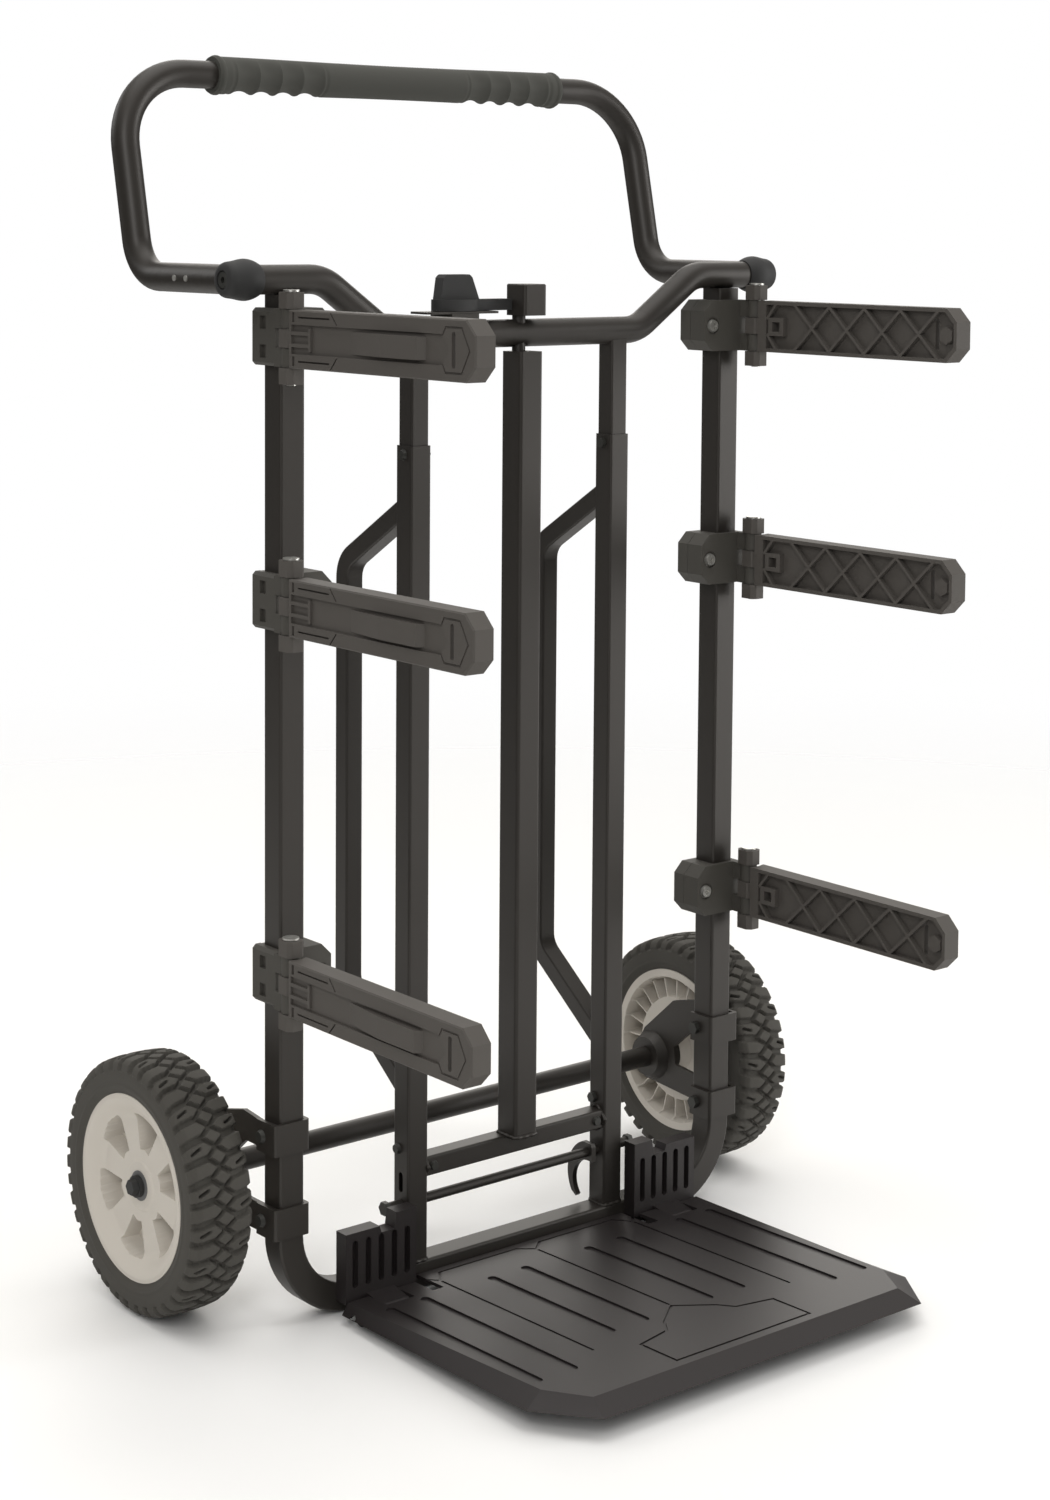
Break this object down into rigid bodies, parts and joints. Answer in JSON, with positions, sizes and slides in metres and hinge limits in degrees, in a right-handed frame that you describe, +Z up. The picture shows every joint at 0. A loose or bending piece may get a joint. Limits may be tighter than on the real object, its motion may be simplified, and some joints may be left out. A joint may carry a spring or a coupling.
{
  "type": "convertible hand truck",
  "caption": "Upright steel hand truck with folding handle, fold-up toe plate, treaded wheels and swing-out side arms that carry stacked tool boxes.",
  "frame": {"origin": "on the ground, at the centre of the bounding box; the plane of the uprights is 65 mm behind it", "axes": "+Z up, -Y to the front (toe plate and arms), +X to the right seen from the front-facing side, so that +X, +Y, +Z are right-handed"},
  "size_m": [0.6924, 0.5518, 1.0945],
  "materials": {
    "frame_paint": "black semi-gloss powder coat",
    "grip_rubber": "dark grey moulded rubber",
    "knob_plastic": "black moulded plastic",
    "dark_fastener": "black-plated steel",
    "bright_zinc": "bright zinc plate",
    "tyre_rubber": "dark warm grey rubber",
    "hub_plastic": "light warm grey plastic",
    "bush_plastic": "dark nylon",
    "arm_plastic": "dark warm grey glass-filled plastic",
    "clamp_plastic": "dark warm grey glass-filled plastic",
    "toe_paint": "black gloss paint"
  },
  "bodies": {
    "frame": {"outer_frame": "frame_paint", "top_bar": "frame_paint", "centre_post": "frame_paint", "post_head": "frame_paint", "lower_cross_tube": "frame_paint", "axle_tube": "frame_paint", "bracket_collars": "frame_paint", "latch_plate": "frame_paint", "bar_end_plugs": "frame_paint", "left_inner_tube": "frame_paint", "right_inner_tube": "frame_paint", "left_sleeve": "frame_paint", "right_sleeve": "frame_paint", "left_rear_brace": "frame_paint", "right_rear_brace": "frame_paint", "left_axle_bracket": "frame_paint", "right_axle_bracket": "frame_paint", "axle_caps": "knob_plastic", "pivot_bolts": "dark_fastener", "bracket_bolts": "dark_fastener", "frame_bolts": "dark_fastener", "toe_hinge_pins": "dark_fastener", "arm_hinge_pins": "bright_zinc", "clamp_screws": "bright_zinc", "axle": "bright_zinc", "latch_pin": "bright_zinc", "left_upper_clamp_front": "clamp_plastic", "right_upper_clamp_front": "clamp_plastic", "left_middle_clamp_front": "clamp_plastic", "right_middle_clamp_front": "clamp_plastic", "left_lower_clamp_front": "clamp_plastic", "right_lower_clamp_front": "clamp_plastic", "left_clamp_backs": "clamp_plastic", "right_clamp_backs": "clamp_plastic", "left_toe_bracket": "toe_paint", "right_toe_bracket": "toe_paint"},
    "left_wheel": {"left_tyre": "tyre_rubber", "left_wheel_hub": "hub_plastic", "left_wheel_bush": "bush_plastic"},
    "right_wheel": {"right_tyre": "tyre_rubber", "right_wheel_hub": "hub_plastic", "right_wheel_bush": "bush_plastic"},
    "handle": {"handle_tube": "frame_paint", "handle_grip": "grip_rubber", "handle_rivets": "bright_zinc", "left_pivot_knob": "knob_plastic", "right_pivot_knob": "knob_plastic"},
    "toe_plate": {"toe_plate": "toe_paint"},
    "latch_knob": {"latch_knob": "knob_plastic"},
    "toe_latch": {"toe_latch_rod": "frame_paint", "toe_latch_hook": "frame_paint", "toe_latch_nuts": "dark_fastener"},
    "left_upper_arm": {"left_upper_arm": "arm_plastic"},
    "left_middle_arm": {"left_middle_arm": "arm_plastic"},
    "left_lower_arm": {"left_lower_arm": "arm_plastic"},
    "right_upper_arm": {"right_upper_arm": "arm_plastic"},
    "right_middle_arm": {"right_middle_arm": "arm_plastic"},
    "right_lower_arm": {"right_lower_arm": "arm_plastic"}
  },
  "joints": [
    {"name": "left_wheel_spin", "type": "hinge", "parent": "frame", "child": "left_wheel", "pos_m": [-0.316, 0.164, 0.112], "axis": [1, 0, 0], "continuous": true},
    {"name": "left_upper_arm_fold", "type": "hinge", "parent": "frame", "child": "left_upper_arm", "pos_m": [-0.2655, 0.032, 0.85], "axis": [0, 0, 1], "range_deg": [0, 90]},
    {"name": "left_middle_arm_fold", "type": "hinge", "parent": "frame", "child": "left_middle_arm", "pos_m": [-0.2655, 0.032, 0.628], "axis": [0, 0, 1], "range_deg": [0, 90]},
    {"name": "left_lower_arm_fold", "type": "hinge", "parent": "frame", "child": "left_lower_arm", "pos_m": [-0.2655, 0.032, 0.308], "axis": [0, 0, 1], "range_deg": [0, 90]},
    {"name": "right_wheel_spin", "type": "hinge", "parent": "frame", "child": "right_wheel", "pos_m": [0.316, 0.164, 0.112], "axis": [1, 0, 0], "continuous": true},
    {"name": "right_upper_arm_fold", "type": "hinge", "parent": "frame", "child": "right_upper_arm", "pos_m": [0.2655, 0.032, 0.85], "axis": [0, 0, -1], "range_deg": [0, 90]},
    {"name": "right_middle_arm_fold", "type": "hinge", "parent": "frame", "child": "right_middle_arm", "pos_m": [0.2655, 0.032, 0.628], "axis": [0, 0, -1], "range_deg": [0, 90]},
    {"name": "right_lower_arm_fold", "type": "hinge", "parent": "frame", "child": "right_lower_arm", "pos_m": [0.2655, 0.032, 0.308], "axis": [0, 0, -1], "range_deg": [0, 90]},
    {"name": "handle_fold", "type": "hinge", "parent": "frame", "child": "handle", "pos_m": [0, 0.065, 0.8975], "axis": [-1, 0, 0], "range_deg": [0, 105]},
    {"name": "toe_plate_fold", "type": "hinge", "parent": "frame", "child": "toe_plate", "pos_m": [0, 0.019, 0.008], "axis": [-1, 0, 0], "range_deg": [0, 84]},
    {"name": "latch_knob_turn", "type": "hinge", "parent": "frame", "child": "latch_knob", "pos_m": [-0.07, 0.065, 0.87], "axis": [0, 0, 1], "range_deg": [0, 90]},
    {"name": "toe_latch_turn", "type": "hinge", "parent": "frame", "child": "toe_latch", "pos_m": [0, 0.065, 0.0765], "axis": [1, 0, 0], "range_deg": [0, 25]}
  ]
}
